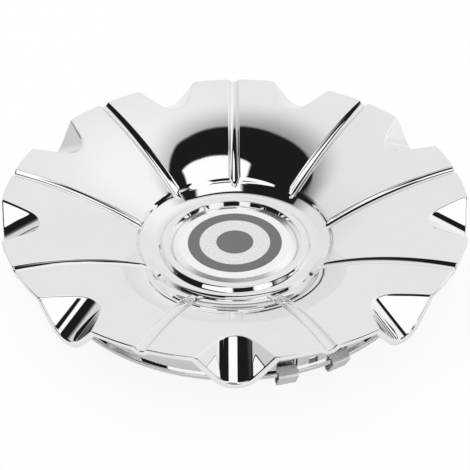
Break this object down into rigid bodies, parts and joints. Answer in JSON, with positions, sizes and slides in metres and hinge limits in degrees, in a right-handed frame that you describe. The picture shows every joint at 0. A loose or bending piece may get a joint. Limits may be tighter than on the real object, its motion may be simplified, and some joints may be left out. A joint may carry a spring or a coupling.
{
  "type": "wheel centre cap",
  "caption": "Round chrome wheel centre cap: a dished face with radial grooves and scalloped rim, a sunken hub with a medallion, and a collar with spring clips.",
  "frame": {"origin": "on the wheel axis, in the plane of the clips' feet that the cap stands on", "axes": "+Z along the wheel axis towards the outside, +Y through a groove, and -Y through a rim pocket"},
  "size_m": [0.19, 0.19, 0.0324],
  "materials": {
    "chrome_shell": "mirror-bright chrome plating on moulded plastic",
    "medallion": "satin badge with plain printed rings",
    "clip_steel": "bright plated spring steel"
  },
  "bodies": {
    "root": {"cap_shell": "chrome_shell", "centre_medallion": "medallion", "spring_clip_1": "clip_steel", "spring_clip_2": "clip_steel", "spring_clip_3": "clip_steel", "spring_clip_4": "clip_steel", "spring_clip_5": "clip_steel", "spring_clip_6": "clip_steel"}
  },
  "joints": []
}
